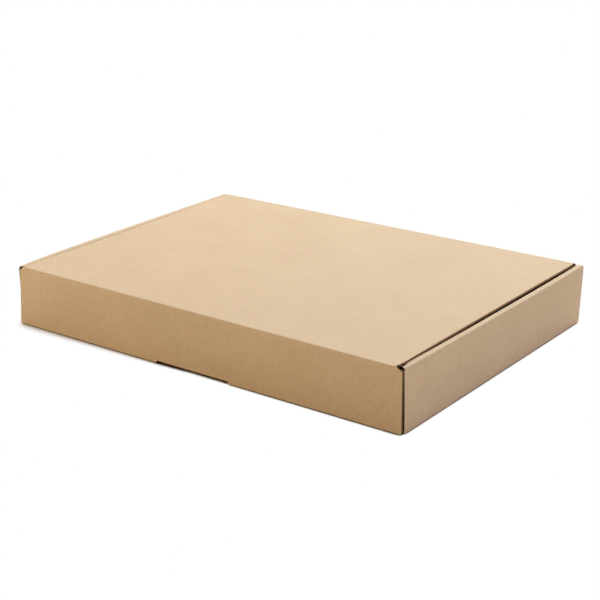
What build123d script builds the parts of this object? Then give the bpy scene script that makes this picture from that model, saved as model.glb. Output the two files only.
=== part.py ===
from build123d import *
import os

# Outside size of the closed box: X is its length, Y runs from front to back, Z is up
box_length = 320.0
box_depth = 223.0
box_height = 41.5

# Corrugated card
board = 1.5
fold_inner = 0.3
layer_gap = 0.15
side_layers = 3

# Fits between folded panels, and the lid's height above the side walls
lid_rise = 1.1
lid_side_gap = 2.0
lid_rest_gap = 0.3
flap_wall_gap = 0.3
raw_edge_floor_gap = 0.5
inner_front_gap = 2.1
inner_back_gap = 0.6

# Sloped cuts at the ends of the two folds that turn, and shoulders of the end walls below the strips
slope_width = 4.6
slope_drop = 2.4
shoulder_gap = 1.5

# Dust flaps that fold back from the end walls into the side walls
dust_length = 72.0
dust_taper = 7.0
dust_base_gap = 0.5

# Tabs of the inner side panels and their slots in the base
tab_width = 38.0
tab_spacing = 118.0
tab_slot_gap = 0.25
tab_floor_gap = 0.3

# Bottom edge of the front flap
flap_corner = 1.2
recess_width = 60.0
recess_depth = 1.4
recess_corner = 0.6

# Length by which a cut runs past the card
overrun = 5.0

# Sizes that follow from the ones above
half_board = board / 2
half_length = box_length / 2
half_depth = box_depth / 2
fold_outer = fold_inner + board
fold_middle = fold_inner + half_board
side_stack = side_layers * board + (side_layers - 1) * layer_gap
lid_half = half_length - side_stack - lid_side_gap
flap_half = lid_half + slope_width
dust_face = half_length - board - layer_gap
wrap_half = dust_face - fold_outer
front_face = board + flap_wall_gap - half_depth
wall_top = box_height - lid_rise
front_wall_top = box_height - board - lid_rest_gap
shoulder_top = wall_top - board - shoulder_gap
shoulder_half = half_length - side_stack - inner_back_gap
top_middle = box_height - half_board
strip_middle = wall_top - half_board
inner_panel_middle = half_length - side_stack + half_board
inner_panel_foot = board + layer_gap
inner_front = front_face + board + inner_front_gap
inner_back = half_depth - board - inner_back_gap
mitre_reach = fold_outer + overrun


def folded(points):
    """Section of a folded sheet, drawn along the middle of the card."""
    return trace(FilletPolyline(*points, radius=fold_middle), board)


def outline(points):
    """Flat face with straight edges."""
    return make_face(Polyline(*points, close=True))


def along_x(section, half_width):
    """Sheet that runs across the box, from a section of Y and Z."""
    return extrude(Plane.YZ * section, half_width, both=True)


def along_y(section, start, end):
    """Sheet that runs from front to back, from a section of X and Z."""
    return extrude(Plane.XZ.offset(-end) * section, end - start)


def along_z(section, start, end):
    """Upright sheet, from a section of X and Y."""
    return extrude(Plane.XY.offset(start) * section, end - start)


def block(x_from, x_to, y_from, y_to, z_from, z_to):
    """Straight piece of card, or a straight cut, between two corners."""
    section = outline([(x_from, y_from), (x_to, y_from), (x_to, y_to), (x_from, y_to)])
    return along_z(section, z_from, z_to)


def both_sides(piece):
    """A piece of the right-hand side and its mirror image on the left."""
    return piece + mirror(piece, Plane.YZ)


def mitre(corner_y, inward, on_lid):
    """Half of a turning fold's section: the lid's half, or the half of the panel below it."""
    inner = corner_y + inward * mitre_reach
    low = box_height - mitre_reach
    third = (inner, box_height) if on_lid else (corner_y, low)
    return outline([(corner_y, box_height), third, (inner, low)])


def fold_slopes():
    """Sloped cuts at both ends of a turning fold, from the lid's width out to the front flap's."""
    low = box_height - slope_drop
    high = box_height + overrun
    beyond = half_length + overrun
    slope = outline([(lid_half, high), (lid_half, box_height), (flap_half, low), (beyond, low), (beyond, high)])
    return both_sides(along_y(slope, -half_depth - overrun, half_depth + overrun))


def wall_shoulders():
    """Cuts that keep the ends of the front and back walls below the strips of the side walls."""
    reach = half_depth + overrun
    return both_sides(block(shoulder_half, half_length, -reach, reach, shoulder_top, box_height + overrun))


def end_wall_sheet(face, inward):
    """Upright part of an end wall with a tapered dust flap folded back from each end."""
    middle = face + inward * half_board
    tip = face + inward * dust_length
    flap_x = dust_face - half_board
    section = folded([(flap_x, tip), (flap_x, middle), (-flap_x, middle), (-flap_x, tip)])
    foot = board + dust_base_gap
    sheet = along_z(section, foot, shoulder_top)
    root = face + inward * fold_outer
    beyond = tip + inward * overrun
    upper_tip = shoulder_top - dust_taper
    lower_tip = foot + dust_taper
    upper = outline([(root, shoulder_top), (tip, upper_tip), (beyond, upper_tip), (beyond, shoulder_top)])
    lower = outline([(root, foot), (tip, lower_tip), (beyond, lower_tip), (beyond, foot)])
    return sheet - along_x(upper, half_length) - along_x(lower, half_length)


def wrapped_sheet():
    """Front wall, base and back wall, up to the middle of the lid's fold."""
    stub = half_depth - fold_outer - half_board
    section = folded([
        (front_face + half_board, front_wall_top),
        (front_face + half_board, half_board),
        (half_depth - half_board, half_board),
        (half_depth - half_board, top_middle),
        (stub, top_middle),
    ])
    section -= mitre(half_depth, -1, on_lid=True)
    return along_x(section, wrap_half) - fold_slopes() - wall_shoulders()


def side_wall():
    """Right-hand side wall: outer panel, strip over the top and inner panel, rolled round the dust flaps."""
    outer_middle = half_length - half_board
    inner_edge = half_length - side_stack
    flat_front = front_face + fold_outer
    flat_back = half_depth - fold_outer
    base_lip = inner_edge - fold_outer
    hem_section = folded([(base_lip, half_board), (outer_middle, half_board), (outer_middle, box_height / 2)])
    roll_section = folded([
        (outer_middle, fold_outer),
        (outer_middle, strip_middle),
        (inner_panel_middle, strip_middle),
        (inner_panel_middle, inner_panel_foot),
    ])
    wall = along_y(hem_section, flat_front, flat_back) + along_y(roll_section, front_face, half_depth)
    outer_face = half_length - board
    wall += block(outer_face, half_length, front_face, flat_front, raw_edge_floor_gap, fold_outer + half_board)
    past_back = half_depth + overrun
    slant = outline([
        (flat_back, fold_outer), (half_depth, wall_top), (past_back, wall_top), (past_back, fold_outer),
    ])
    wall -= along_x(slant, half_length)
    past_edge = inner_edge - overrun
    past_corner = half_length + overrun
    strip_foot = wall_top - fold_outer
    for end, inner_end, outward in ((front_face, inner_front, -1), (half_depth, inner_back, 1)):
        past_end = end + outward * overrun
        strip_cut = outline([
            (past_corner, past_end), (past_corner, end), (half_length, end), (inner_edge, inner_end),
            (past_edge, inner_end), (past_edge, past_end),
        ])
        panel_cut = outline([
            (outer_face, past_end), (outer_face, inner_end), (past_edge, inner_end), (past_edge, past_end),
        ])
        wall -= along_z(strip_cut, strip_foot, box_height) + along_z(panel_cut, board, strip_foot)
    return wall


def side_tabs(gap, bottom, top):
    """Tabs below the right-hand inner panel, or their slots when a gap is given."""
    tab_x = half_length - side_stack
    tabs = Part()
    for tab_y in (-tab_spacing / 2, tab_spacing / 2):
        reach = tab_width / 2 + gap
        tabs += block(tab_x - gap, tab_x + board + gap, tab_y - reach, tab_y + reach, bottom, top)
    return tabs


def make_tray():
    tray = wrapped_sheet() + both_sides(side_wall())
    tray += end_wall_sheet(front_face, 1) + end_wall_sheet(half_depth, -1)
    tray -= both_sides(side_tabs(tab_slot_gap, -overrun, inner_panel_foot))
    return tray + both_sides(side_tabs(0, tab_floor_gap, inner_panel_foot + board))


def make_lid():
    """Lid panel with the upper halves of its two turning folds."""
    section = folded([
        (half_depth - half_board, box_height - mitre_reach),
        (half_depth - half_board, top_middle),
        (half_board - half_depth, top_middle),
        (half_board - half_depth, box_height - mitre_reach),
    ])
    section -= mitre(half_depth, -1, on_lid=False)
    section -= mitre(-half_depth, 1, on_lid=False)
    return along_x(section, lid_half)


def flap_outline():
    """Front view of the front flap, with round lower corners and a shallow recess in its bottom edge."""
    height = box_height - raw_edge_floor_gap
    face = Pos(0, raw_edge_floor_gap + height / 2) * Rectangle(2 * flap_half, height)
    face = fillet(face.vertices().group_by(Axis.Y)[0], flap_corner)
    recess = RectangleRounded(recess_width, 2 * recess_depth, recess_corner)
    return face - Pos(0, raw_edge_floor_gap) * recess


def make_front_flap():
    section = folded([
        (mitre_reach - half_depth, top_middle),
        (half_board - half_depth, top_middle),
        (half_board - half_depth, raw_edge_floor_gap),
    ])
    section -= mitre(-half_depth, 1, on_lid=True)
    flap = along_x(section, flap_half) & along_y(flap_outline(), -half_depth, half_depth)
    return flap - fold_slopes()


os.makedirs("parts", exist_ok=True)
for node, shape in (("tray", make_tray()), ("lid", make_lid()), ("front_flap", make_front_flap())):
    export_step(shape, f"parts/{node}.step")
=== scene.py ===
import math

import bmesh
import bpy
import numpy as np
from mathutils import Matrix, Vector
from mathutils.geometry import delaunay_2d_cdt


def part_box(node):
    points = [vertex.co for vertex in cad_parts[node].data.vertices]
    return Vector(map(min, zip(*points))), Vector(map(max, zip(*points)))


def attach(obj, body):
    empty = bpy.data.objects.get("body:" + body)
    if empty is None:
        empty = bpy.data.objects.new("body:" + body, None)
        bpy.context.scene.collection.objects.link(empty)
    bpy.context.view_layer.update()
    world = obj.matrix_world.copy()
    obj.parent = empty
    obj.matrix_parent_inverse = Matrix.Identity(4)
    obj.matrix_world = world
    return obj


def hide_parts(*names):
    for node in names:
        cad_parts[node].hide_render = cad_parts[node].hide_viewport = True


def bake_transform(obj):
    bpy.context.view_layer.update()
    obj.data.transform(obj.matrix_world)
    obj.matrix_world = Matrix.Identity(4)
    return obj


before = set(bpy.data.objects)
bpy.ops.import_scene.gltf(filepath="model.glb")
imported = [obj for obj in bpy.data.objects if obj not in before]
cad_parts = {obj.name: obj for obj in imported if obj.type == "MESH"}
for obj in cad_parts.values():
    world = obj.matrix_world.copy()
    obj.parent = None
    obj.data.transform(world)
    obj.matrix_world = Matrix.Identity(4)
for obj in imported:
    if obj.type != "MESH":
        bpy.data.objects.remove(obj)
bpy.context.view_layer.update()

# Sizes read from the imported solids, in metres
HALF_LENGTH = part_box("tray")[1].x
HALF_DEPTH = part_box("tray")[1].y
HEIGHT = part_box("lid")[1].z
LID_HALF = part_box("lid")[1].x
FLAP_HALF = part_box("front_flap")[1].x
FLAP_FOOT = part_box("front_flap")[0].z
SLOPE_WIDTH = FLAP_HALF - LID_HALF

# Card and fits, as in the part's source
BOARD = 0.0015
HALF_BOARD = BOARD / 2
FOLD_INNER = 0.0003
LAYER_GAP = 0.00015
SIDE_LAYERS = 3
FLAP_WALL_GAP = 0.0003
LID_RISE = 0.0011
LID_REST_GAP = 0.0003
SHOULDER_GAP = 0.0015
SLOPE_DROP = 0.0024
INNER_FRONT_GAP = 0.0021
INNER_BACK_GAP = 0.0006
FOLD_MIDDLE = FOLD_INNER + HALF_BOARD
FOLD_OUTER = FOLD_INNER + BOARD
SIDE_STACK = SIDE_LAYERS * BOARD + (SIDE_LAYERS - 1) * LAYER_GAP
DUST_FACE = HALF_LENGTH - BOARD - LAYER_GAP
WRAP_HALF = DUST_FACE - FOLD_OUTER
BASE_HALF = HALF_LENGTH - FOLD_OUTER
FRONT_FACE = BOARD + FLAP_WALL_GAP - HALF_DEPTH
WALL_TOP = HEIGHT - LID_RISE
FRONT_WALL_TOP = HEIGHT - BOARD - LID_REST_GAP
SHOULDER_TOP = WALL_TOP - BOARD - SHOULDER_GAP
SHOULDER_HALF = HALF_LENGTH - SIDE_STACK - INNER_BACK_GAP
TOP_MIDDLE = HEIGHT - HALF_BOARD
STRIP_MIDDLE = WALL_TOP - HALF_BOARD

# Ends of the strips of card that bend at the two turning folds
CREASE_REACH = 0.003
CREASE_Z = HEIGHT - CREASE_REACH
CREASE_Y = HALF_DEPTH - CREASE_REACH

# Panels of the blank, as in the part's source
FLAT_FRONT = FRONT_FACE + FOLD_OUTER
FLAT_BACK = HALF_DEPTH - FOLD_OUTER
INNER_FRONT = FRONT_FACE + BOARD + INNER_FRONT_GAP
INNER_BACK = HALF_DEPTH - BOARD - INNER_BACK_GAP
INNER_FOOT = BOARD + LAYER_GAP
DUST_LENGTH = 0.072
DUST_TAPER = 0.007
DUST_BASE_GAP = 0.0005
DUST_FOOT = BOARD + DUST_BASE_GAP
TAB_WIDTH = 0.038
TAB_SPACING = 0.118
TAB_FLOOR_GAP = 0.0003
TAB_SLOT_GAP = 0.00025
FLAP_CORNER = 0.0012
RECESS_HALF = 0.030
RECESS_DEPTH = 0.0014
RECESS_CORNER = 0.0006

# Where the visual card departs from the solids: squarer folds, ends of the side walls and the flap's bend
FOLD_POWER = 4.5
FOLD_END_POWER = 1.5
CURL_SHARE = 0.55
WALL_FRONT_GAP = 0.0003
WALL_FRONT = FRONT_FACE + WALL_FRONT_GAP
STRIP_BACK_LEAN = 0.0025
STRIP_INNER_LEAN = 0.0035

# Raw edges of the card: two liners, with a groove and a wavy medium between them
LINER = 0.00022
EDGE_DEPTH = 0.0018
CORNER_DEPTH = 0.0004
STRAIGHT = 0.99
MITRE_LIMIT = 0.5
FLUTE_PITCH = 0.0034
FLUTE_STEPS = 10
MEDIUM_STEP = FLUTE_PITCH / FLUTE_STEPS
MEDIUM_HALF = 0.00009
MEDIUM_FRONT_SHARE = 0.05
MEDIUM_BACK_SHARE = 0.995

# Groove in the lid's edges: no painted shade inside, and no groove gets shallower than this share of the
# full depth
LID_EDGE_HOLLOW = 0.0
SHALLOW_GROOVE = 0.15

# Nicks that held the blank in its sheet, left on the front flap's bottom edge
NICK_X = 0.0986
NICK_HALF = 0.0006
NICK_HEIGHT = 0.0003

# Mesh resolution
GRID = 0.008
FOLD_STEPS = 8
ARC_STEPS = 8
SLOPE_STEPS = 28
SUPPORT = 0.0006
SUPPORTED_RUN = 4 * SUPPORT
SLOPE_SUPPORTS = (1, 3)
GRID_ROOM = SUPPORT / 4
TINY = 0.000005
MERGE_DISTANCE = TINY / 2
CUT_EPSILON = TINY / 100
SHARP_ANGLE = math.radians(34)

# How this box's lid and front flap lie since it was closed
LID_PLAY_BACK = 0.0009
LID_PLAY_FRONT = 0.0015
LID_FLARE = 0.0005
LID_FLARE_POWER = 3
LIFTED_CORNER_RISE = 0.0008
LIFTED_CORNER_LENGTH = 0.005
LIFTED_CORNER_DEPTH = 0.012
FLAP_LEFT_TUCK = 0.0014
FLAP_LEFT_TUCK_FOOT = 0.0006
FLAP_SPLAY_LEFT = 0.0024
FLAP_SPLAY_RIGHT = 0.0003
FLAP_SPLAY_POWER = 1.2

# How its side walls have relaxed
LEFT_WALL_LEAN = 0.0005
LEFT_WALL_TUCK = 0.0026
LEFT_WALL_TUCK_FOOT = 0.0014
LEFT_WALL_TUCK_POWER = 6
LEFT_WALL_SAG = 0.0003
RIGHT_WALL_TILT = 0.0003
RIGHT_WALL_BOW = 0.0005
RIGHT_WALL_BOW_POWER = 1.5
RIGHT_STRIP_PULL = 0.0008
RIGHT_STRIP_FRONT_POWER = 2
RIGHT_STRIP_BACK_POWER = 8
RIGHT_STRIP_RISE_POWER = 8

# Material slots of a card mesh, and the offset of the inner faces on the blank's texture
LINER_FACE = 0
RAW_EDGE = 1
INNER_FACE_SHIFT = 1.5


class FoldLine:
    """Middle line of a folded card: straight runs and round quarter-turn folds, measured by arc length."""

    def __init__(self, *corners):
        corners = [Vector(corner) for corner in corners]
        self.pieces = []
        self.folds = []
        length = 0.0
        start = corners[0]
        for index in range(1, len(corners)):
            along = (corners[index] - corners[index - 1]).normalized()
            last = index == len(corners) - 1
            end = corners[index] if last else corners[index] - along * FOLD_MIDDLE
            run = (end - start).length
            self.pieces.append((length, length + run, start, along, 0))
            length += run
            if last:
                break
            onward = (corners[index + 1] - corners[index]).normalized()
            turn = 1 if along.x * onward.y > along.y * onward.x else -1
            arc = FOLD_MIDDLE * math.pi / 2
            self.pieces.append((length, length + arc, end, along, turn))
            self.folds.append((length, length + arc))
            length += arc
            start = corners[index] + onward * FOLD_MIDDLE
        self.length = length

    def at(self, distance):
        """Point on the line, the direction to its left and how far a fold's outside is drawn out there."""
        for first, last, start, along, turn in self.pieces:
            if distance <= last:
                break
        left = Vector((-along.y, along.x))
        run = distance - first
        if not turn:
            return start + along * run, left, 1.0
        angle = run / FOLD_MIDDLE
        sine, cosine = math.sin(angle), math.cos(angle)
        centre = start + left * (turn * FOLD_MIDDLE)
        spoke = along * sine - left * (turn * cosine)
        squared = (abs(sine) ** FOLD_POWER + abs(cosine) ** FOLD_POWER) ** (-1 / FOLD_POWER)
        drawn = (FOLD_OUTER * squared - FOLD_MIDDLE) / HALF_BOARD
        return centre + spoke * FOLD_MIDDLE, left * cosine - along * (turn * sine), drawn

    def rows(self):
        """Distances at which the mesh has a row of points."""
        rows = [0.0]
        for first, last, start, along, turn in self.pieces:
            span = last - first
            if turn:
                rows += [first + span * (step + 1) / FOLD_STEPS for step in range(FOLD_STEPS)]
                continue
            support = [first + SUPPORT, last - SUPPORT] if span > SUPPORTED_RUN else []
            rows += support + spread(first, last)[1:]
        return sorted(rows)

    def folded_at(self, distance):
        """Whether a distance along the line lies in one of its folds."""
        return any(first <= distance <= last for first, last in self.folds)


def held(value):
    """A value kept between 0 and 1."""
    return min(max(value, 0), 1)


def between(first, last, share):
    """Value or point at a share of the way from first to last."""
    return first + (last - first) * share


def spread(first, last, step=GRID):
    """Even positions from first to last, no further apart than the step."""
    count = max(1, math.ceil((last - first) / step))
    return [first + (last - first) * index / count for index in range(count + 1)]


def round_corner(before, corner, after, radius):
    """Points of a corner's fillet."""
    corner = Vector(corner)
    back = (Vector(before) - corner).normalized()
    onward = (Vector(after) - corner).normalized()
    half = back.angle(onward) / 2
    centre = corner + (back + onward).normalized() * (radius / math.sin(half))
    first = corner + back * (radius / math.tan(half)) - centre
    last = corner + onward * (radius / math.tan(half)) - centre
    points = []
    for step in range(ARC_STEPS + 1):
        share = step / ARC_STEPS
        spoke = first.lerp(last, share).normalized() * radius
        points.append(tuple(centre + spoke))
    return points


def split_loop(loop, rows, columns):
    """Outline with a point wherever it crosses a row or a column of the mesh."""
    points = []
    for (s0, e0), (s1, e1) in zip(loop, loop[1:] + loop[:1]):
        span = math.hypot(s1 - s0, e1 - e0)
        cuts = [0.0]
        if abs(s1 - s0) > TINY:
            cuts += [(row - s0) / (s1 - s0) for row in rows]
        if abs(e1 - e0) > TINY:
            cuts += [(column - e0) / (e1 - e0) for column in columns]
        last = -1.0
        for cut in sorted(cuts):
            if cut < 0 or (1 - cut) * span < TINY or (cut - last) * span < TINY:
                continue
            points.append((between(s0, s1, cut), between(e0, e1, cut)))
            last = cut
    return points


def inside(points, loops):
    """Which flat points lie within the loops, holes left out."""
    across, up = points[:, 0], points[:, 1]
    odd = np.zeros(len(points), bool)
    for loop in loops:
        for (s0, e0), (s1, e1) in zip(loop, loop[1:] + loop[:1]):
            if e0 != e1:
                crossing = s0 + (up - e0) * (s1 - s0) / (e1 - e0)
                odd ^= ((e0 > up) != (e1 > up)) & (across < crossing)
    return odd


def distance_from(points, start, end):
    """Distance of flat points from a straight stretch."""
    start, end = np.array(start), np.array(end)
    along = end - start
    share = np.clip((points - start) @ along / (along @ along), 0, 1)
    return np.linalg.norm(points - start - share[..., None] * along, axis=-1)


def clear_of(points, loops, room):
    """Which flat points stay a distance away from every loop."""
    clear = np.ones(len(points), bool)
    for loop in loops:
        for start, end in zip(loop, loop[1:] + loop[:1]):
            clear &= distance_from(points, start, end) > room
    return clear


def triangulate(loops, rows, columns):
    """Flat triangles of an outline, with a point at each crossing of the rows and columns."""
    loops = [split_loop(loop, rows, columns) for loop in loops]
    grid = np.array([(row, column) for row in rows for column in columns])
    grid = grid[inside(grid, loops)]
    grid = grid[clear_of(grid, loops, GRID_ROOM)]
    points, edges = [], []
    for loop in loops:
        first = len(points)
        points += [Vector(point) for point in loop]
        edges += [(first + k, first + (k + 1) % len(loop)) for k in range(len(loop))]
    points += [Vector(point) for point in grid]
    flat, _, faces, _, _, _ = delaunay_2d_cdt(points, edges, [], 0, CUT_EPSILON)
    flat = np.array([tuple(point) for point in flat])
    faces = np.array(faces)
    faces = faces[inside(flat[faces].mean(axis=1), loops)]
    one, two = flat[faces[:, 1]] - flat[faces[:, 0]], flat[faces[:, 2]] - flat[faces[:, 0]]
    turned = one[:, 0] * two[:, 1] < one[:, 1] * two[:, 0]
    faces[turned] = faces[turned][:, ::-1]
    return flat, faces


def boundary_of(faces):
    """Directed edges that belong to one triangle only."""
    sides = {(int(face[k]), int(face[(k + 1) % 3])) for face in faces for k in range(3)}
    return [(a, b) for a, b in sides if (b, a) not in sides]


def lies_on(point, seams):
    """Whether a flat point lies on one of some straight stretches."""
    return any(distance_from(point, start, end) < TINY for start, end in seams)


class CardMesh:
    """Mesh of folded corrugated card, built up sheet by sheet."""

    def __init__(self):
        self.bm = bmesh.new()
        self.uv = self.bm.loops.layers.uv.new("blank")
        self.fold = self.bm.verts.layers.float.new("fold")
        # Depth of a raw edge's point in its groove, which the edge material paints as shade
        self.depth = self.bm.verts.layers.float.new("depth")

    def face(self, corners, material, uvs):
        """Adds one face, without corners that repeat."""
        kept = []
        for corner, uv in zip(corners, uvs):
            if not kept or corner is not kept[-1][0]:
                kept.append((corner, uv))
        if len(kept) > 2 and kept[0][0] is kept[-1][0]:
            kept.pop()
        if len(kept) < 3:
            return
        made = self.bm.faces.new([corner for corner, _ in kept])
        made.material_index = material
        made.smooth = True
        for loop, (_, uv) in zip(made.loops, kept):
            loop[self.uv].uv = uv

    def sheet(self, line, loops, place, blank, columns, joins=(), caps=(), hollow=1.0):
        """Adds one sheet: outlines in distance along its fold line and position across, folded into place.

        joins are outline stretches that meet another sheet of this mesh, and caps are cut plain. All other
        edges show the raw card, with a groove that is as deep as hollow says, from 0 to 1, and painted
        shade inside it that is as dark as hollow says."""
        flat, faces = triangulate(loops, line.rows(), columns)

        def put(s, e, level, depth=0.0):
            point, left, drawn = line.at(s)
            offset = level * drawn if level < 0 else level
            vert = self.bm.verts.new(place(*(point + left * offset), e))
            vert[self.fold] = float(line.folded_at(s))
            vert[self.depth] = depth
            return vert

        tops = [put(s, e, -HALF_BOARD) for s, e in flat]
        backs = [put(s, e, HALF_BOARD) for s, e in flat]
        uvs = [Vector(blank(s, e)) for s, e in flat]
        shift = Vector((0, INNER_FACE_SHIFT))
        for face in faces:
            self.face([tops[k] for k in face], LINER_FACE, [uvs[k] for k in face])
            turned = face[::-1]
            self.face([backs[k] for k in turned], LINER_FACE, [uvs[k] + shift for k in turned])

        raw, joined, capped = [], [], []
        for a, b in boundary_of(faces):
            middle = (flat[a] + flat[b]) / 2
            if lies_on(middle, joins):
                joined.append((a, b))
            elif lies_on(middle, caps):
                capped.append((a, b))
            else:
                raw.append((a, b))
        ribs = self.raw_edges(raw, joined + capped, flat, tops, backs, uvs, put, blank, hollow)
        for a, b in capped:
            near, far = ribs.get(a, [])[1:-1], ribs.get(b, [])[-2:0:-1]
            corners = [tops[b], tops[a], *near, backs[a], backs[b], *far]
            self.face(corners, RAW_EDGE, [uvs[b], *[uvs[a]] * (len(near) + 2), *[uvs[b]] * (len(far) + 1)])

    def raw_edges(self, raw, seams, flat, tops, backs, uvs, put, blank, hollow):
        """Cut edges of a sheet: both liners, the groove between them and the wavy medium in it."""
        runs_on = {}
        for a, b in seams:
            for end in (a, b):
                runs_on[end] = (flat[b] - flat[a]) / np.linalg.norm(flat[b] - flat[a])
        inward = {}
        degree = {}
        for a, b in raw:
            along = flat[b] - flat[a]
            normal = np.array((-along[1], along[0])) / np.linalg.norm(along)
            for end in (a, b):
                inward.setdefault(end, []).append(normal)
                degree[end] = degree.get(end, 0) + 1
        dips = {}
        for end, normals in inward.items():
            if degree[end] == 2:
                turn = normals[0] @ normals[1]
                depth = EDGE_DEPTH if turn > STRAIGHT else CORNER_DEPTH
                dips[end] = (normals[0] + normals[1]) * (depth / max(1 + turn, MITRE_LIMIT))
            elif abs(normals[0] @ runs_on[end]) > STRAIGHT:
                dips[end] = normals[0] * EDGE_DEPTH
            else:
                dips[end] = np.zeros(2)
            dips[end] = dips[end] * max(hollow, SHALLOW_GROOVE)
        core = HALF_BOARD - LINER

        def rib(end):
            s, e = flat[end]
            upper = put(s, e, -core)
            lower = put(s, e, core)
            if not dips[end].any():
                return [tops[end], upper, upper, lower, lower, backs[end]]
            ds, de = flat[end] + dips[end]
            # The groove's deep points carry hollow as their depth, which the edge material paints as shade
            deep = [put(ds, de, -core, hollow), put(ds, de, core, hollow)]
            return [tops[end], upper, *deep, lower, backs[end]]

        ribs = {end: rib(end) for end in dips}
        for a, b in raw:
            for k in range(len(ribs[a]) - 1):
                corners = [ribs[b][k], ribs[a][k], ribs[a][k + 1], ribs[b][k + 1]]
                self.face(corners, RAW_EDGE, [uvs[b], uvs[a], uvs[a], uvs[b]])
        self.medium(raw, flat, dips, put, blank, core)
        return ribs

    def medium(self, raw, flat, dips, put, blank, core):
        """Wavy paper between the liners, along each run of raw edge that crosses the flutes."""
        onward = {}
        for a, b in raw:
            across = abs(blank(*flat[b])[0] - blank(*flat[a])[0])
            if across > np.linalg.norm(flat[b] - flat[a]) / 2 and dips[a].any() and dips[b].any():
                onward[a] = b
        heads = [a for a in onward if a not in onward.values()]
        while onward:
            head = heads.pop() if heads else next(iter(onward))
            run = [head]
            while run[-1] in onward:
                run.append(onward.pop(run[-1]))
            self.medium_run(run, flat, dips, put, blank, core)

    def medium_run(self, run, flat, dips, put, blank, core):
        """Wavy paper along one run of raw edge, as a thin closed band."""
        closed = run[0] == run[-1]
        stations = []
        for a, b in zip(run, run[1:]):
            across = abs(blank(*flat[b])[0] - blank(*flat[a])[0])
            count = max(1, math.ceil(across / MEDIUM_STEP))
            for step in range(count):
                share = step / count
                stations.append((between(flat[a], flat[b], share), between(dips[a], dips[b], share)))
        if not closed:
            stations.append((flat[run[-1]], dips[run[-1]]))
        swing = core - MEDIUM_HALF - TINY
        rings = []
        for spot, dip in stations:
            u, v = blank(*spot)
            wave = swing * math.sin(2 * math.pi * u / FLUTE_PITCH)
            near, far = spot + dip * MEDIUM_FRONT_SHARE, spot + dip * MEDIUM_BACK_SHARE
            # The medium's back, deep in the groove, gets full depth and so full painted shade
            ring = [
                put(*near, wave + MEDIUM_HALF), put(*near, wave - MEDIUM_HALF),
                put(*far, wave - MEDIUM_HALF, 1.0), put(*far, wave + MEDIUM_HALF, 1.0),
            ]
            rings.append((ring, Vector((u, v))))
        pairs = list(zip(rings, rings[1:] + rings[:1]))
        for (one, uv_one), (two, uv_two) in pairs if closed else pairs[:-1]:
            for k in range(4):
                after = (k + 1) % 4
                corners = [one[k], one[after], two[after], two[k]]
                self.face(corners, RAW_EDGE, [uv_one, uv_one, uv_two, uv_two])
        if not closed:
            for ring, uv in (rings[0], rings[-1]):
                self.face(ring, RAW_EDGE, [uv] * 4)

    def finish(self, name, relax):
        """The finished object, with its sheets joined and relaxed."""
        bmesh.ops.remove_doubles(self.bm, verts=self.bm.verts, dist=MERGE_DISTANCE)
        bmesh.ops.recalc_face_normals(self.bm, faces=self.bm.faces)
        for vert in self.bm.verts:
            vert.co += relax(vert.co)
        mesh = bpy.data.meshes.new(name)
        self.bm.to_mesh(mesh)
        self.bm.free()
        mesh.set_sharp_from_angle(angle=SHARP_ANGLE)
        mesh.materials.append(KRAFT)
        mesh.materials.append(KRAFT_EDGE)
        piece = bpy.data.objects.new(name, mesh)
        bpy.context.collection.objects.link(piece)
        return piece


# Fold lines of the chain that runs from the front wall round to the front flap
WRAP = FoldLine(
    (FRONT_FACE + HALF_BOARD, FRONT_WALL_TOP), (FRONT_FACE + HALF_BOARD, HALF_BOARD),
    (HALF_DEPTH - HALF_BOARD, HALF_BOARD), (HALF_DEPTH - HALF_BOARD, CREASE_Z),
)
LID_CREASE = FoldLine(
    (HALF_DEPTH - HALF_BOARD, CREASE_Z), (HALF_DEPTH - HALF_BOARD, TOP_MIDDLE), (CREASE_Y, TOP_MIDDLE),
)
LID = FoldLine((CREASE_Y, TOP_MIDDLE), (-CREASE_Y, TOP_MIDDLE))
FLAP_CREASE = FoldLine(
    (-CREASE_Y, TOP_MIDDLE), (HALF_BOARD - HALF_DEPTH, TOP_MIDDLE), (HALF_BOARD - HALF_DEPTH, CREASE_Z),
)
FLAP = FoldLine((HALF_BOARD - HALF_DEPTH, CREASE_Z), (HALF_BOARD - HALF_DEPTH, FLAP_FOOT))

# Where each panel starts on the blank, from the front wall's top edge
BASE_START = WRAP.folds[0][1]
BASE_END = WRAP.folds[1][0]
LID_CREASE_START = WRAP.length
LID_START = LID_CREASE_START + LID_CREASE.length
FLAP_CREASE_START = LID_START + LID.length
FLAP_START = FLAP_CREASE_START + FLAP_CREASE.length


def play_at(y):
    """How far the lid lies to the right between the side walls, most so at the front."""
    return between(LID_PLAY_BACK, LID_PLAY_FRONT, (HALF_DEPTH - y) / (2 * HALF_DEPTH))


def lid_play(spot):
    """How the lid and what hangs on it lie: all of it to the right, with the flap's left end tucked in.

    The front fold's right end flares out too, and the lid's corner there is lifted."""
    front = max(-spot.y / HALF_DEPTH, 0) ** LID_FLARE_POWER
    fold = held(1 - (HEIGHT - spot.z) / SLOPE_DROP)
    right = max(spot.x / LID_HALF, 0)
    left = held((-spot.x - LID_HALF) / SLOPE_WIDTH)
    drop = held((CREASE_Z - spot.z) / CREASE_Z)
    flare = LID_FLARE * front * fold * right
    tuck = between(FLAP_LEFT_TUCK, FLAP_LEFT_TUCK_FOOT, drop) * left
    beside = max(1 - max(LID_HALF - spot.x, 0) / LIFTED_CORNER_LENGTH, 0)
    behind = max(1 - (spot.y + HALF_DEPTH) / LIFTED_CORNER_DEPTH, 0)
    lift = LIFTED_CORNER_RISE * fold * beside ** 2 * behind ** 2
    return Vector((play_at(spot.y) + flare + tuck, 0, lift))


def lid_fold_play(spot):
    """At the lid's fold, the lid's play fades out from the lid towards the back wall."""
    angle = math.atan2(max(spot.z - CREASE_Z, 0), max(spot.y - CREASE_Y, 0))
    return Vector((play_at(CREASE_Y) * angle / (math.pi / 2), 0, 0))


def across_box(a, b, e):
    """Sheets with a section of Y and Z that run along X."""
    return e, a, b


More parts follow.
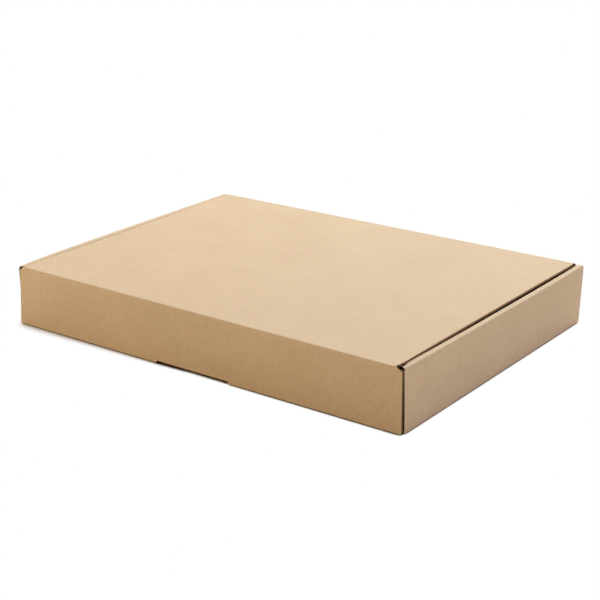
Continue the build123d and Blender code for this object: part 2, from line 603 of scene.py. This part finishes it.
def wrap_sheet(card):
    """Front wall, base and back wall."""
    front_shoulder = FRONT_WALL_TOP - SHOULDER_TOP
    front_foot = FRONT_WALL_TOP - DUST_FOOT
    back_foot = WRAP.length - (CREASE_Z - DUST_FOOT)
    back_shoulder = WRAP.length - (CREASE_Z - SHOULDER_TOP)
    right = [
        (0.0, SHOULDER_HALF), (front_shoulder, SHOULDER_HALF), (front_shoulder, WRAP_HALF),
        (front_foot, WRAP_HALF), (BASE_START, WRAP_HALF), (BASE_START, BASE_HALF),
        (BASE_END, BASE_HALF), (BASE_END, WRAP_HALF), (back_foot, WRAP_HALF),
        (back_shoulder, WRAP_HALF), (back_shoulder, SHOULDER_HALF), (WRAP.length, SHOULDER_HALF),
    ]
    outline = right + [(s, -e) for s, e in reversed(right)]
    joins = []
    for side in (1, -1):
        joins += [
            ((front_shoulder, side * WRAP_HALF), (front_foot, side * WRAP_HALF)),
            ((BASE_START, side * BASE_HALF), (BASE_END, side * BASE_HALF)),
            ((back_foot, side * WRAP_HALF), (back_shoulder, side * WRAP_HALF)),
        ]
    caps = [((WRAP.length, -SHOULDER_HALF), (WRAP.length, SHOULDER_HALF))]
    slots = []
    slot_x = HALF_LENGTH - SIDE_STACK
    for side in (1, -1):
        for tab_y in (-TAB_SPACING / 2, TAB_SPACING / 2):
            near, far = side * (slot_x - TAB_SLOT_GAP), side * (slot_x + BOARD + TAB_SLOT_GAP)
            first = BASE_START + tab_y - TAB_WIDTH / 2 - TAB_SLOT_GAP - FLAT_FRONT
            last = BASE_START + tab_y + TAB_WIDTH / 2 + TAB_SLOT_GAP - FLAT_FRONT
            slots.append([(first, near), (last, near), (last, far), (first, far)])
    card.sheet(WRAP, [outline, *slots], across_box, lambda s, e: (e, s), spread(-BASE_HALF, BASE_HALF),
               joins=joins, caps=caps)


def side_sheet(card, side):
    """Side wall: outer panel, strip over the top and inner panel with its tabs."""
    outer_x = HALF_LENGTH - HALF_BOARD
    inner_x = HALF_LENGTH - SIDE_STACK + HALF_BOARD
    line = FoldLine(
        (BASE_HALF - SUPPORT, HALF_BOARD), (outer_x, HALF_BOARD), (outer_x, STRIP_MIDDLE),
        (inner_x, STRIP_MIDDLE), (inner_x, INNER_FOOT),
    )
    start = line.folds[0][0]
    curl = start + (line.folds[0][1] - start) * CURL_SHARE
    hem, corner, inner, foot = line.folds[0][1], line.folds[1][0], line.folds[2][1], line.length
    tab = INNER_FOOT - TAB_FLOOR_GAP
    tab_line = []
    for tab_y in (-TAB_SPACING / 2, TAB_SPACING / 2):
        low, high = tab_y - TAB_WIDTH / 2, tab_y + TAB_WIDTH / 2
        tab_line += [(foot, low), (foot + tab, low), (foot + tab, high), (foot, high)]
    outline = [
        (start, FLAT_FRONT), (curl, FLAT_FRONT), (curl, WALL_FRONT), (corner, WALL_FRONT),
        (inner, INNER_FRONT), (foot, INNER_FRONT), *tab_line, (foot, INNER_BACK), (inner, INNER_BACK),
        (inner, INNER_BACK + STRIP_INNER_LEAN), (corner, HALF_DEPTH + STRIP_BACK_LEAN), (hem, FLAT_BACK),
        (start, FLAT_BACK),
    ]
    columns = [FLAT_FRONT + row - BASE_START for row in WRAP.rows() if BASE_START <= row <= BASE_END]

    def place(a, b, e):
        return side * a, e, b

    def blank(s, e):
        return side * (BASE_HALF + s - start), BASE_START + e - FLAT_FRONT

    card.sheet(line, [outline], place, blank, columns, joins=[((start, FLAT_FRONT), (start, FLAT_BACK))])


def dust_sheet(card, side, face, inward, level):
    """Dust flap: folded back from an end wall, between the two panels of a side wall."""
    middle = face + inward * HALF_BOARD
    flap_x = DUST_FACE - HALF_BOARD
    line = FoldLine((WRAP_HALF, 0.0), (flap_x, 0.0), (flap_x, DUST_LENGTH - HALF_BOARD))
    root = line.folds[0][1]
    outline = [
        (0.0, DUST_FOOT), (root, DUST_FOOT), (line.length, DUST_FOOT + DUST_TAPER),
        (line.length, SHOULDER_TOP - DUST_TAPER), (root, SHOULDER_TOP), (0.0, SHOULDER_TOP),
    ]

    def place(a, b, e):
        return side * a, middle + inward * b, e

    def blank(s, e):
        return side * (WRAP_HALF + s), level(e)

    if inward > 0:
        columns = [FRONT_WALL_TOP - row for row in WRAP.rows() if row <= FRONT_WALL_TOP - DUST_FOOT]
    else:
        columns = [CREASE_Z - WRAP.length + row for row in WRAP.rows()]
        columns = [column for column in columns if column >= DUST_FOOT]
    card.sheet(line, [outline], place, blank, columns, joins=[((0.0, DUST_FOOT), (0.0, SHOULDER_TOP))])


def relax_walls(spot):
    """How the side walls lie: the left one is tucked in at its front.

    The right one is bowed, and its strip's inner edge is pulled outwards."""
    rise = max(spot.z / HEIGHT, 0)
    side = held((abs(spot.x) - SHOULDER_HALF) / BOARD)
    depth = spot.y / HALF_DEPTH
    front = max(-depth, 0)
    back = max(depth, 0)
    if spot.x < 0:
        tuck = between(LEFT_WALL_TUCK_FOOT, LEFT_WALL_TUCK, rise) * front ** LEFT_WALL_TUCK_POWER
        sag = LEFT_WALL_SAG * depth ** 2
        return Vector(((tuck - LEFT_WALL_LEAN * rise) * side, 0, -sag * rise * side))
    tilt = RIGHT_WALL_TILT * depth
    bow = RIGHT_WALL_BOW * (1 - 2 * depth ** 2) * rise ** RIGHT_WALL_BOW_POWER * side
    inner = held(min((spot.x - SHOULDER_HALF) / INNER_BACK_GAP, (HALF_LENGTH - spot.x) / SIDE_STACK))
    ends = front ** RIGHT_STRIP_FRONT_POWER + back ** RIGHT_STRIP_BACK_POWER
    pull = RIGHT_STRIP_PULL * inner * max(1 - ends, 0) * rise ** RIGHT_STRIP_RISE_POWER
    return Vector((bow + pull, 0, -tilt * rise * side))


def make_tray():
    """Base with all its walls, and the dust flaps inside the side walls."""
    card = CardMesh()
    wrap_sheet(card)
    for side in (1, -1):
        side_sheet(card, side)
        dust_sheet(card, side, FRONT_FACE, 1, lambda z: FRONT_WALL_TOP - z)
        dust_sheet(card, side, HALF_DEPTH, -1, lambda z: WRAP.length - CREASE_Z + z)
    return card.finish("tray_card", relax_walls)


def make_lid():
    """Lid panel, with a raw edge along each side."""
    card = CardMesh()
    outline = [(0.0, -LID_HALF), (0.0, LID_HALF), (LID.length, LID_HALF), (LID.length, -LID_HALF)]
    caps = [((s, -LID_HALF), (s, LID_HALF)) for s in (0.0, LID.length)]
    card.sheet(LID, [outline], across_box, lambda s, e: (e, LID_START + s), fold_columns(LID_HALF),
               caps=caps, hollow=LID_EDGE_HOLLOW)
    return card.finish("lid_card", lid_play)


def fold_end(z):
    """Half width of a turning fold at a height: it slopes from the lid's width out to the front flap's."""
    return LID_HALF + SLOPE_WIDTH * held((HEIGHT - z) / SLOPE_DROP) ** FOLD_END_POWER


def fold_columns(half):
    """Columns of a sheet beside a turning fold, with close ones at the top of the fold's slopes."""
    close = [LID_HALF - count * SUPPORT for count in SLOPE_SUPPORTS]
    return sorted(spread(-half, half) + close + [-column for column in close])


def make_crease(name, line, start, widest, relax):
    """Strip of card at a turning fold, with sloped ends."""
    card = CardMesh()
    right = []
    for row in spread(0.0, line.length, line.length / SLOPE_STEPS):
        point, left, drawn = line.at(row)
        right.append((row, min(fold_end((point - left * HALF_BOARD * drawn).y), widest)))
    outline = right + [(s, -e) for s, e in reversed(right)]
    ends = (right[0], right[-1])
    caps = [((s, -e), (s, e)) for s, e in ends]
    card.sheet(line, [outline], across_box, lambda s, e: (e, start + s), fold_columns(widest), caps=caps)
    return card.finish(name, relax)


def make_front_flap():
    """Front flap, with a shallow recess and two nicks in its bottom edge."""
    card = CardMesh()
    foot = FLAP.length
    shelf = foot - RECESS_DEPTH
    corner = round_corner((0.0, FLAP_HALF), (foot, FLAP_HALF), (foot, 0.0), FLAP_CORNER)
    nick = [
        (foot, NICK_X + NICK_HALF), (foot + NICK_HEIGHT, NICK_X + NICK_HALF / 2),
        (foot + NICK_HEIGHT, NICK_X - NICK_HALF / 2), (foot, NICK_X - NICK_HALF),
    ]
    recess = round_corner((foot, RECESS_HALF), (shelf, RECESS_HALF), (shelf, 0.0), RECESS_CORNER)
    right = [(0.0, FLAP_HALF), *corner, *nick, (foot, RECESS_HALF), *recess]
    outline = right + [(s, -e) for s, e in reversed(right)]
    caps = [((0.0, -FLAP_HALF), (0.0, FLAP_HALF))]
    card.sheet(FLAP, [outline], across_box, lambda s, e: (e, FLAP_START + s), spread(-FLAP_HALF, FLAP_HALF),
               caps=caps)

    def relax(spot):
        drop = max(CREASE_Z - spot.z, 0) / CREASE_Z
        share = (spot.x + FLAP_HALF) / (2 * FLAP_HALF)
        splay = between(FLAP_SPLAY_LEFT, FLAP_SPLAY_RIGHT, share)
        return lid_play(spot) - Vector((0, splay * drop ** FLAP_SPLAY_POWER, 0))

    return card.finish("front_flap_card", relax)


# Kraft liner: linear colours, and each noise's scale per metre of the blank with its gain on the tone
KRAFT_DARK = (0.54, 0.350, 0.177, 1)
KRAFT_LIGHT = (0.81, 0.600, 0.375, 1)
TONE_MIDDLE = 0.5
CLOUD_SCALE = 22.0
CLOUD_GAIN = 0.30
FORMATION_SCALE = 210.0
FORMATION_GAIN = 0.50
MOTTLE_SCALE = 620.0
MOTTLE_GAIN = 0.55
FIBRE_SCALES = (600.0, 1500.0)
FIBRE_GAIN = 0.40
STREAK_SCALES = (420.0, 14.0)
STREAK_GAIN = 0.07
GRAIN_SCALE = 2600.0
GRAIN_GAIN = 0.25
FLUTE_GAIN = 0.012
FOLD_GAIN = 0.08

# Dark and light flecks in the liner
DARK_FLECK = (0.23, 0.125, 0.055, 1)
DARK_FLECKS = {"stretch": 1.6, "scale": 260.0, "size": 0.16, "share": 0.14}
DARK_FLECK_STRENGTH = 0.55
LIGHT_FLECK = (0.90, 0.76, 0.56, 1)
LIGHT_FLECKS = {"stretch": 1.9, "scale": 330.0, "size": 0.15, "share": 0.16}
LIGHT_FLECK_STRENGTH = 0.45

# Relief and gloss of the liner
FIBRE_HEIGHT = 0.5
GRAIN_HEIGHT = 0.35
FORMATION_HEIGHT = 0.4
FLUTE_HEIGHT = 0.10
KRAFT_BUMP = {"Strength": 0.30, "Distance": 0.00012}
KRAFT_ROUGHNESS = 0.74
KRAFT_ROUGHNESS_GAIN = 0.20
KRAFT_GLOSS = {"Specular IOR Level": 0.30, "Sheen Weight": 0.10, "Sheen Roughness": 0.6}

# Cut edges of the card: darker than the liner, partly their own tone, partly painted shade of open flutes.
# The groove's inside gets a painted shade.
EDGE_DARK = (0.30, 0.165, 0.080, 1)
EDGE_LIGHT = (0.52, 0.325, 0.180, 1)
HOLLOW_PAINTED_SHADE = (0.22, 0.085, 0.035, 1)
HOLLOW_SHARE = 0.30
FUZZ_SCALE = 1900.0
FUZZ_GAIN = 0.9
PATCH_SCALE = 160.0
PATCH_GAIN = 0.5
EDGE_BUMP = {"Strength": 0.5, "Distance": 0.0001}
EDGE_ROUGHNESS = 0.88
EDGE_ROUGHNESS_GAIN = 0.12
EDGE_GLOSS = {"Specular IOR Level": 0.2}

# Floor: its colours, a painted shade close under the box, how far the box's shade reaches and the shares of
# open sky over which it fades
FLOOR_HALF = 6.0
FLOOR_DROP = 0.0002
FLOOR_DARK = (0.88, 0.83, 0.77, 1)
FLOOR_LIGHT = (0.90, 0.85, 0.79, 1)
FLOOR_CLOUD_SCALE = 3.0
# Painted shade: a dark brown put on the floor closest under the box
FLOOR_PAINTED_SHADE = (0.14, 0.070, 0.030, 1)
FLOOR_REACH_LEFT = 0.019
FLOOR_REACH_FRONT = 0.0035
FLOOR_REACH_RIGHT = 0.0015
# Under the flap's recess the reach is longer and the painted shade deeper, both set by place
FLOOR_REACH_RECESS = 0.0008
FLOOR_RECESS_PAINTED_SHADE = 0.24
FLOOR_WHITE_SHARES = (0.50, 0.80)
# Shares of open sky over which the painted shade gives way to the floor's own tint
FLOOR_TINT_SHARES = (0.12, 0.34)
FLOOR_SHADE_SAMPLES = 16

# Studio light
WHITE = (1, 1, 1, 1)
WORLD_LIGHT = 0.092

# Camera, fitted to the box's corners in the photograph
CAMERA_FOCAL_PIXELS = 1381.2
CAMERA_AZIMUTH = math.radians(37.394)
CAMERA_ELEVATION = math.radians(20.049)
CAMERA_ROLL = math.radians(-0.827)
CAMERA_DISTANCE = 0.9543
CAMERA_SLIDE = (-0.00222, 0.00480)
CAMERA_SENSOR = 36.0
CAMERA_NEAR = 0.01
CAMERA_FAR = 50.0
IMAGE_PIXELS = 600


class Graph:
    """Node tree of a material or a world, filled by short calls."""

    def __init__(self, owner):
        self.owner = owner
        owner.use_nodes = True
        self.tree = owner.node_tree
        self.tree.nodes.clear()

    def add(self, kind, inputs=None, **settings):
        made = self.tree.nodes.new(kind)
        for key, value in settings.items():
            setattr(made, key, value)
        for key, value in (inputs or {}).items():
            if isinstance(value, bpy.types.NodeSocket):
                self.tree.links.new(value, made.inputs[key])
            else:
                made.inputs[key].default_value = value
        return made.outputs

    def math(self, operation, *values):
        return self.add("ShaderNodeMath", dict(enumerate(values)), operation=operation)[0]

    def scaled(self, value, gain):
        return self.math("MULTIPLY", value, gain)

    def centred(self, value, gain):
        """A noise value as a difference from its middle, times a gain."""
        return self.scaled(self.math("SUBTRACT", value, 0.5), gain)

    def total(self, *values):
        result = values[0]
        for value in values[1:]:
            result = self.math("ADD", result, value)
        return result

    def ramp(self, value, low, high, first=0.0, last=1.0, kind="LINEAR"):
        """A value's range from low to high, turned into the range from first to last."""
        inputs = {"Value": value, "From Min": low, "From Max": high, "To Min": first, "To Max": last}
        return self.add("ShaderNodeMapRange", inputs, interpolation_type=kind)[0]

    def mix(self, share, one, two):
        """Colour at a share of the way from one to two."""
        return self.add("ShaderNodeMix", {0: share, 6: one, 7: two}, data_type="RGBA")[2]

    def noise(self, vector, scale=1.0, detail=2.0, roughness=0.5):
        inputs = {"Vector": vector, "Scale": scale, "Detail": detail, "Roughness": roughness}
        return self.add("ShaderNodeTexNoise", inputs)[0]

    def stretched(self, vector, along, across):
        return self.add("ShaderNodeMapping", {"Vector": vector, "Scale": (along, across, 1)})[0]

    def flecks(self, vector, stretch, scale, size, share):
        """Sparse spots: one in some of the cells of a scattered pattern."""
        place = self.stretched(vector, 1.0, stretch)
        cells = self.add("ShaderNodeTexVoronoi", {"Vector": place, "Scale": scale})
        pick = self.add("ShaderNodeSeparateColor", {"Color": cells["Color"]})
        chosen = self.math("LESS_THAN", pick[0], share)
        reach = self.scaled(pick[1], size)
        spot = self.ramp(cells["Distance"], reach, 0.0, kind="SMOOTHSTEP")
        return self.math("MULTIPLY", chosen, spot)

    def seen(self):
        """1 for what the camera sees, also by a mirror or through glass, and 0 for other light."""
        path = self.add("ShaderNodeLightPath")
        either = self.math("MAXIMUM", path["Is Camera Ray"], path["Is Glossy Ray"])
        return self.math("MAXIMUM", either, path["Is Transmission Ray"])

    def output(self, shader):
        self.add("ShaderNodeOutputMaterial", {"Surface": shader})
        return self.owner


def kraft_material():
    """Unbleached kraft liner: cloudy formation, fine fibres, flecks and a faint trace of the flutes."""
    graph = Graph(bpy.data.materials.new("kraft_card"))
    blank = graph.add("ShaderNodeUVMap", uv_map="blank")["UV"]
    clouds = graph.noise(blank, CLOUD_SCALE)
    formation = graph.noise(blank, FORMATION_SCALE, detail=4.0, roughness=0.6)
    mottle = graph.noise(blank, MOTTLE_SCALE, roughness=0.6)
    fibres = graph.noise(graph.stretched(blank, *FIBRE_SCALES), detail=3.0, roughness=0.6)
    streaks = graph.noise(graph.stretched(blank, *STREAK_SCALES))
    grain = graph.noise(blank, GRAIN_SCALE)
    across = graph.add("ShaderNodeSeparateXYZ", {"Vector": blank})[0]
    flute = graph.math("SINE", graph.scaled(across, 2 * math.pi / FLUTE_PITCH))
    fold = graph.add("ShaderNodeAttribute", attribute_name="fold")["Fac"]
    tone = graph.total(
        TONE_MIDDLE, graph.centred(clouds, CLOUD_GAIN), graph.centred(formation, FORMATION_GAIN),
        graph.centred(mottle, MOTTLE_GAIN), graph.centred(fibres, FIBRE_GAIN),
        graph.centred(streaks, STREAK_GAIN), graph.centred(grain, GRAIN_GAIN),
        graph.scaled(flute, FLUTE_GAIN), graph.scaled(fold, FOLD_GAIN),
    )
    colour = graph.mix(tone, KRAFT_DARK, KRAFT_LIGHT)
    dark = graph.flecks(blank, **DARK_FLECKS)
    light = graph.flecks(blank, **LIGHT_FLECKS)
    colour = graph.mix(graph.scaled(dark, DARK_FLECK_STRENGTH), colour, DARK_FLECK)
    colour = graph.mix(graph.scaled(light, LIGHT_FLECK_STRENGTH), colour, LIGHT_FLECK)
    height = graph.total(
        graph.scaled(fibres, FIBRE_HEIGHT), graph.scaled(grain, GRAIN_HEIGHT),
        graph.scaled(formation, FORMATION_HEIGHT), graph.scaled(flute, FLUTE_HEIGHT),
    )
    bump = graph.add("ShaderNodeBump", {**KRAFT_BUMP, "Height": height})[0]
    roughness = graph.total(KRAFT_ROUGHNESS, graph.centred(formation, KRAFT_ROUGHNESS_GAIN))
    shader = graph.add("ShaderNodeBsdfPrincipled", {
        "Base Color": colour, "Roughness": roughness, "Normal": bump, **KRAFT_GLOSS,
    })
    return graph.output(shader[0])


def edge_material():
    """Cut edge of the card: rough paper fibres, darker than the liner, with painted shade inside the
    groove.

    Its darker tone is partly the cut paper's own and partly painted shade of the open flutes.
    """
    graph = Graph(bpy.data.materials.new("kraft_card_edge"))
    blank = graph.add("ShaderNodeUVMap", uv_map="blank")["UV"]
    place = graph.add("ShaderNodeTexCoord")["Object"]
    fuzz = graph.noise(place, FUZZ_SCALE, detail=3.0, roughness=0.65)
    patches = graph.noise(blank, PATCH_SCALE)
    tone = graph.total(TONE_MIDDLE, graph.centred(fuzz, FUZZ_GAIN), graph.centred(patches, PATCH_GAIN))
    colour = graph.mix(tone, EDGE_DARK, EDGE_LIGHT)
    depth = graph.add("ShaderNodeAttribute", attribute_name="depth")["Fac"]
    # Painted shade inside the groove, darker with depth
    colour = graph.mix(graph.ramp(depth, 0.0, HOLLOW_SHARE), colour, HOLLOW_PAINTED_SHADE)
    bump = graph.add("ShaderNodeBump", {**EDGE_BUMP, "Height": fuzz})[0]
    roughness = graph.total(EDGE_ROUGHNESS, graph.centred(fuzz, EDGE_ROUGHNESS_GAIN))
    shader = graph.add("ShaderNodeBsdfPrincipled", {
        "Base Color": colour, "Roughness": roughness, "Normal": bump, **EDGE_GLOSS,
    })
    return graph.output(shader[0])


def floor_material():
    """Pale floor: white where it is seen in the open, shaded by the lamps where the box stands close above
    it.

    Closest under the box a dark shade is painted on it. The shade reaches furthest at the box's left end
    and least at its right wall, and the painted shade is deepest in the recess of the front flap, set there
    by place."""
    graph = Graph(bpy.data.materials.new("pale_floor"))
    place = graph.add("ShaderNodeTexCoord")["Object"]
    across = graph.add("ShaderNodeSeparateXYZ", {"Vector": place})[0]
    recess = graph.math("LESS_THAN", graph.math("ABSOLUTE", across), RECESS_HALF)
    reach = graph.total(
        graph.ramp(across, HALF_LENGTH - BOARD, HALF_LENGTH, FLOOR_REACH_FRONT, FLOOR_REACH_RIGHT),
        graph.ramp(across, -HALF_LENGTH, 0.0, FLOOR_REACH_LEFT - FLOOR_REACH_FRONT, 0.0),
        graph.scaled(recess, FLOOR_REACH_RECESS),
    )
    near = graph.add("ShaderNodeAmbientOcclusion", {"Distance": reach}, samples=FLOOR_SHADE_SAMPLES)["AO"]
    white_share = graph.ramp(near, *FLOOR_WHITE_SHARES, kind="SMOOTHSTEP")
    # Painted shade: deepened by place under the flap's recess
    painted_shade_cue = graph.math("SUBTRACT", near, graph.scaled(recess, FLOOR_RECESS_PAINTED_SHADE))
    tint_share = graph.ramp(painted_shade_cue, *FLOOR_TINT_SHARES, kind="SMOOTHSTEP")
    tint = graph.mix(graph.noise(place, FLOOR_CLOUD_SCALE), FLOOR_DARK, FLOOR_LIGHT)
    # Painted shade: dark brown where the floor has least open sky
    tint = graph.mix(tint_share, FLOOR_PAINTED_SHADE, tint)
    matte = graph.add("ShaderNodeBsdfDiffuse", {"Color": tint})[0]
    white = graph.add("ShaderNodeEmission", {"Color": WHITE, "Strength": 1.0})[0]
    share = graph.math("MULTIPLY", graph.seen(), white_share)
    return graph.output(graph.add("ShaderNodeMixShader", {0: share, 1: matte, 2: white})[0])


def make_floor():
    """Flat floor a hair below the box's underside."""
    mesh = bpy.data.meshes.new("floor")
    signs = ((-1, -1), (1, -1), (1, 1), (-1, 1))
    corners = [(side * FLOOR_HALF, end * FLOOR_HALF, 0) for side, end in signs]
    mesh.from_pydata(corners, [], [(0, 1, 2, 3)])
    mesh.materials.append(floor_material())
    floor = bpy.data.objects.new("floor", mesh)
    bpy.context.collection.objects.link(floor)
    floor.location.z = -FLOOR_DROP


def make_world():
    """White where it is seen, and a weak even light on everything else."""
    world = bpy.data.worlds.new("studio")
    bpy.context.scene.world = world
    graph = Graph(world)
    level = graph.ramp(graph.seen(), 0.0, 1.0, WORLD_LIGHT, 1.0)
    background = graph.add("ShaderNodeBackground", {"Color": WHITE, "Strength": level})[0]
    graph.add("ShaderNodeOutputWorld", {"Surface": background})


def make_lamp(name, spot, target, size, energy, colour):
    """Soft rectangular lamp that faces a target."""
    data = bpy.data.lights.new(name, "AREA")
    data.shape = "RECTANGLE"
    data.size, data.size_y = size
    data.energy = energy
    data.color = colour
    lamp = bpy.data.objects.new(name, data)
    bpy.context.collection.objects.link(lamp)
    lamp.location = spot
    lamp.rotation_mode = "QUATERNION"
    lamp.rotation_quaternion = (Vector(target) - Vector(spot)).to_track_quat("-Z", "Y")


def make_lights():
    """Cool main light from behind, a warm one from the front left and a weak cool one from the right."""
    make_lamp(
        "back", spot=(-0.55, 1.6, 1.6), target=(0, 0, 0),
        size=(1.7, 1.25), energy=67.8, colour=(0.89, 0.95, 1.0),
    )
    make_lamp(
        "front", spot=(-1.15, -1.15, 0.62), target=(0, 0, 0.02),
        size=(1.0, 0.7), energy=14.0, colour=(1.0, 0.84, 0.60),
    )
    make_lamp(
        "right", spot=(1.6, 0.1, 0.5), target=(0, 0, 0.02),
        size=(1.0, 0.8), energy=8.65, colour=(0.80, 0.81, 1.0),
    )


def make_camera():
    """Camera at the photograph's viewpoint."""
    flat = math.cos(CAMERA_ELEVATION)
    back = Vector((
        math.sin(CAMERA_AZIMUTH) * flat, -math.cos(CAMERA_AZIMUTH) * flat, math.sin(CAMERA_ELEVATION),
    ))
    level = Vector((math.cos(CAMERA_AZIMUTH), math.sin(CAMERA_AZIMUTH), 0))
    rise = back.cross(level)
    right = level * math.cos(CAMERA_ROLL) + rise * math.sin(CAMERA_ROLL)
    up = rise * math.cos(CAMERA_ROLL) - level * math.sin(CAMERA_ROLL)
    data = bpy.data.cameras.new("camera")
    data.sensor_width = CAMERA_SENSOR
    data.lens = data.sensor_width * CAMERA_FOCAL_PIXELS / IMAGE_PIXELS
    data.clip_start = CAMERA_NEAR
    data.clip_end = CAMERA_FAR
    camera = bpy.data.objects.new("camera", data)
    bpy.context.collection.objects.link(camera)
    middle = Vector((0, 0, HEIGHT / 2))
    spot = middle + back * CAMERA_DISTANCE - right * CAMERA_SLIDE[0] - up * CAMERA_SLIDE[1]
    turn = Matrix((right, up, back)).transposed().to_4x4()
    camera.matrix_world = Matrix.Translation(spot) @ turn
    bpy.context.scene.camera = camera


bpy.context.scene.view_settings.view_transform = "Standard"
KRAFT = kraft_material()
KRAFT_EDGE = edge_material()

tray_card = make_tray()
lid_card = make_lid()
flap_card = make_front_flap()
lid_crease = make_crease("lid_crease", LID_CREASE, LID_CREASE_START, SHOULDER_HALF, lid_fold_play)
flap_crease = make_crease("front_flap_crease", FLAP_CREASE, FLAP_CREASE_START, FLAP_HALF, lid_play)

for piece, node in ((tray_card, "tray"), (lid_card, "lid"), (flap_card, "front_flap")):
    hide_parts(node)
    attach(piece, node)
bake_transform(lid_crease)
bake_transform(flap_crease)

make_floor()
make_world()
make_lights()
make_camera()
